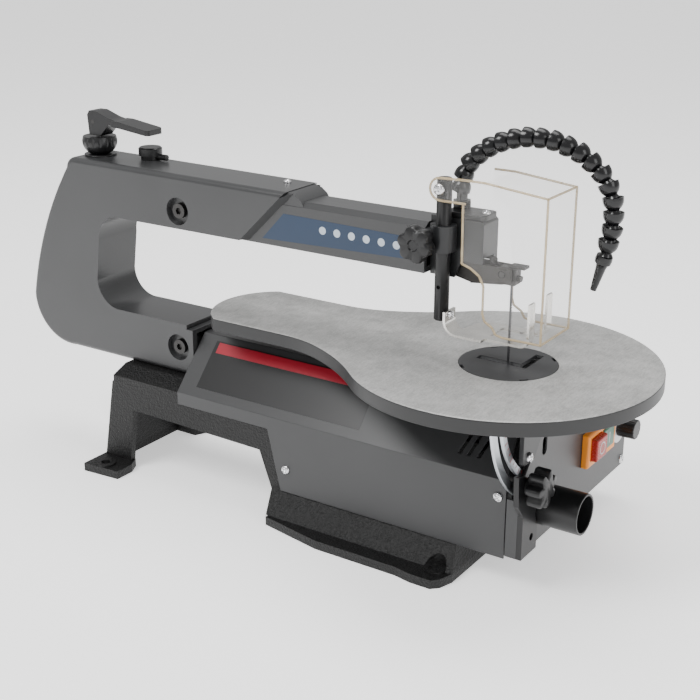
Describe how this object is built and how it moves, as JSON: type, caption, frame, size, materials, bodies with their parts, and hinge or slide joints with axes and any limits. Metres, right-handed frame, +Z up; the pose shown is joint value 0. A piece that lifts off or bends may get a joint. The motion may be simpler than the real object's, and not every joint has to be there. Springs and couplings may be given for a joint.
{
  "type": "scroll saw",
  "caption": "Bench scroll saw: C frame with two rocking arms and an upright blade, tilting teardrop table, hold-down foot, clear guard, jointed air hose and front controls.",
  "frame": {"origin": "centre of the four bench bolt holes, on the bench plane", "axes": "+X towards the operator along the arm, +Y to the motor side, +Z up"},
  "size_m": [0.6339, 0.2835, 0.3582],
  "materials": {
    "frame_paint": "satin",
    "base_black": "textured",
    "table_metal": "ground",
    "steel": "brushed",
    "zinc": "polished",
    "bronze": "plain",
    "arm_metal": "cast",
    "black_plastic": "matte",
    "red_plastic": "gloss",
    "green_plastic": "gloss",
    "orange_plastic": "matte",
    "white_plastic": "matte",
    "clear_plastic": "clear",
    "rubber": "matte"
  },
  "bodies": {
    "frame": {"base_casting": "base_black", "frame_half_near": "frame_paint", "frame_half_far": "frame_paint", "pivot_bolts": "steel", "knob_seat": "black_plastic", "frame_cap": "black_plastic", "arm_nose": "base_black", "hose_mount_plate": "black_plastic", "top_screws": "zinc", "hose_fitting": "black_plastic", "tilt_clamp_bracket": "base_black", "tilt_bolt": "steel", "front_plate": "frame_paint", "side_cover_near": "frame_paint", "side_cover_far": "frame_paint", "motor_cover": "frame_paint", "cover_screws": "zinc", "dust_outlet": "black_plastic", "switch_frame": "orange_plastic", "switch_body": "black_plastic", "speed_dial": "white_plastic", "speed_control": "black_plastic", "motor_bracket": "steel", "motor_housing": "steel", "air_bellows": "rubber", "air_tube": "rubber", "cable_gland": "black_plastic"},
    "upper_arm": {"upper_arm": "arm_metal", "upper_arm_bush": "bronze", "arm_tip_stud": "steel"},
    "lower_arm": {"lower_arm": "arm_metal", "lower_arm_bush": "bronze"},
    "blade": {"blade": "steel", "upper_blade_clamp": "arm_metal", "lower_blade_clamp": "arm_metal", "clamp_screws": "steel"},
    "tension_rod": {"tension_rod": "steel", "lever_pin": "steel"},
    "tension_knob": {"tension_knob": "black_plastic"},
    "tension_lever": {"tension_lever": "black_plastic"},
    "air_hose": {"hose_links": "black_plastic", "hose_nozzle": "black_plastic"},
    "post": {"holddown_post": "steel", "guard_screw": "zinc", "foot_screw": "steel"},
    "post_knob": {"post_clamp_knob": "black_plastic"},
    "foot": {"holddown_foot": "steel"},
    "guard": {"blade_guard": "clear_plastic"},
    "table": {"saw_table": "table_metal", "angle_scale": "table_metal", "table_trunnion": "base_black", "trunnion_screw": "zinc"},
    "insert": {"table_insert": "black_plastic"},
    "tilt_knob": {"tilt_knob": "black_plastic"},
    "stop_button": {"stop_button": "red_plastic"},
    "start_button": {"start_button": "green_plastic"},
    "speed_knob": {"speed_knob": "black_plastic"},
    "crank": {"motor_crank": "steel"},
    "conrod": {"connecting_rod": "steel"}
  },
  "joints": [
    {"name": "lower_arm_rock", "type": "hinge", "parent": "frame", "child": "lower_arm", "pos_m": [-0.12, 0, 0.1255], "axis": [0, 1, 0], "range_deg": [0, 2.5]},
    {"name": "upper_arm_rock", "type": "hinge", "parent": "frame", "child": "upper_arm", "pos_m": [-0.114, 0, 0.255], "axis": [0, 1, 0], "range_deg": [0, 2.5]},
    {"name": "blade_swing", "type": "hinge", "parent": "lower_arm", "child": "blade", "pos_m": [0.193, 0, 0.123], "axis": [0, 1, 0], "range_deg": [-2.5, 0]},
    {"name": "rod_swing", "type": "hinge", "parent": "lower_arm", "child": "tension_rod", "pos_m": [-0.229, 0, 0.1255], "axis": [0, 1, 0], "range_deg": [-2.5, 0]},
    {"name": "tension_knob_turn", "type": "hinge", "parent": "tension_rod", "child": "tension_knob", "pos_m": [-0.229, 0, 0.299], "axis": [0, 0, 1], "continuous": true},
    {"name": "tension_lever_lift", "type": "hinge", "parent": "tension_rod", "child": "tension_lever", "pos_m": [-0.229, 0, 0.321], "axis": [0, 1, 0], "range_deg": [-100, 0]},
    {"name": "hose_swivel", "type": "hinge", "parent": "frame", "child": "air_hose", "pos_m": [0.154, 0.008, 0.298], "axis": [0, 0, 1], "range_deg": [-90, 90]},
    {"name": "post_slide", "type": "slide", "parent": "frame", "child": "post", "axis": [0, 0, 1], "range_m": [-0.014, 0.014]},
    {"name": "post_knob_turn", "type": "hinge", "parent": "frame", "child": "post_knob", "pos_m": [0.141, -0.04, 0.267], "axis": [0, -1, 0], "range_deg": [0, 360]},
    {"name": "foot_tilt", "type": "hinge", "parent": "post", "child": "foot", "pos_m": [0.1595, -0.018, 0.207], "axis": [1, 0, 0], "range_deg": [-10, 10]},
    {"name": "guard_lift", "type": "hinge", "parent": "post", "child": "guard", "pos_m": [0.1525, -0.02525, 0.309], "axis": [0, 1, 0], "range_deg": [-14, 0]},
    {"name": "table_tilt", "type": "hinge", "parent": "frame", "child": "table", "pos_m": [0.205, 0, 0.17], "axis": [1, 0, 0], "range_deg": [0, 38]},
    {"name": "insert_lift", "type": "slide", "parent": "table", "child": "insert", "axis": [0, 0, 1], "range_m": [0, 0.003]},
    {"name": "tilt_knob_turn", "type": "hinge", "parent": "frame", "child": "tilt_knob", "pos_m": [0.262, -0.05033, 0.09539], "axis": [1, 0, 0], "continuous": true},
    {"name": "stop_press", "type": "slide", "parent": "frame", "child": "stop_button", "axis": [-1, 0, 0], "range_m": [0, 0.003], "stiffness_N_per_m": 400},
    {"name": "start_press", "type": "slide", "parent": "frame", "child": "start_button", "axis": [-1, 0, 0], "range_m": [0, 0.003], "stiffness_N_per_m": 400},
    {"name": "speed_knob_turn", "type": "hinge", "parent": "frame", "child": "speed_knob", "pos_m": [0.255, 0.142, 0.075], "axis": [1, 0, 0], "range_deg": [0, 300]},
    {"name": "crank_spin", "type": "hinge", "parent": "frame", "child": "crank", "pos_m": [0.145, 0.06, 0.085], "axis": [0, 1, 0], "continuous": true},
    {"name": "conrod_swing", "type": "hinge", "parent": "lower_arm", "child": "conrod", "pos_m": [0.145, 0, 0.121], "axis": [0, 1, 0], "range_deg": [-5, 5]}
  ],
  "couplings": [
    {"joint": "upper_arm_rock", "follows": "lower_arm_rock", "ratio": 1},
    {"joint": "blade_swing", "follows": "lower_arm_rock", "ratio": -1},
    {"joint": "rod_swing", "follows": "lower_arm_rock", "ratio": -1}
  ]
}
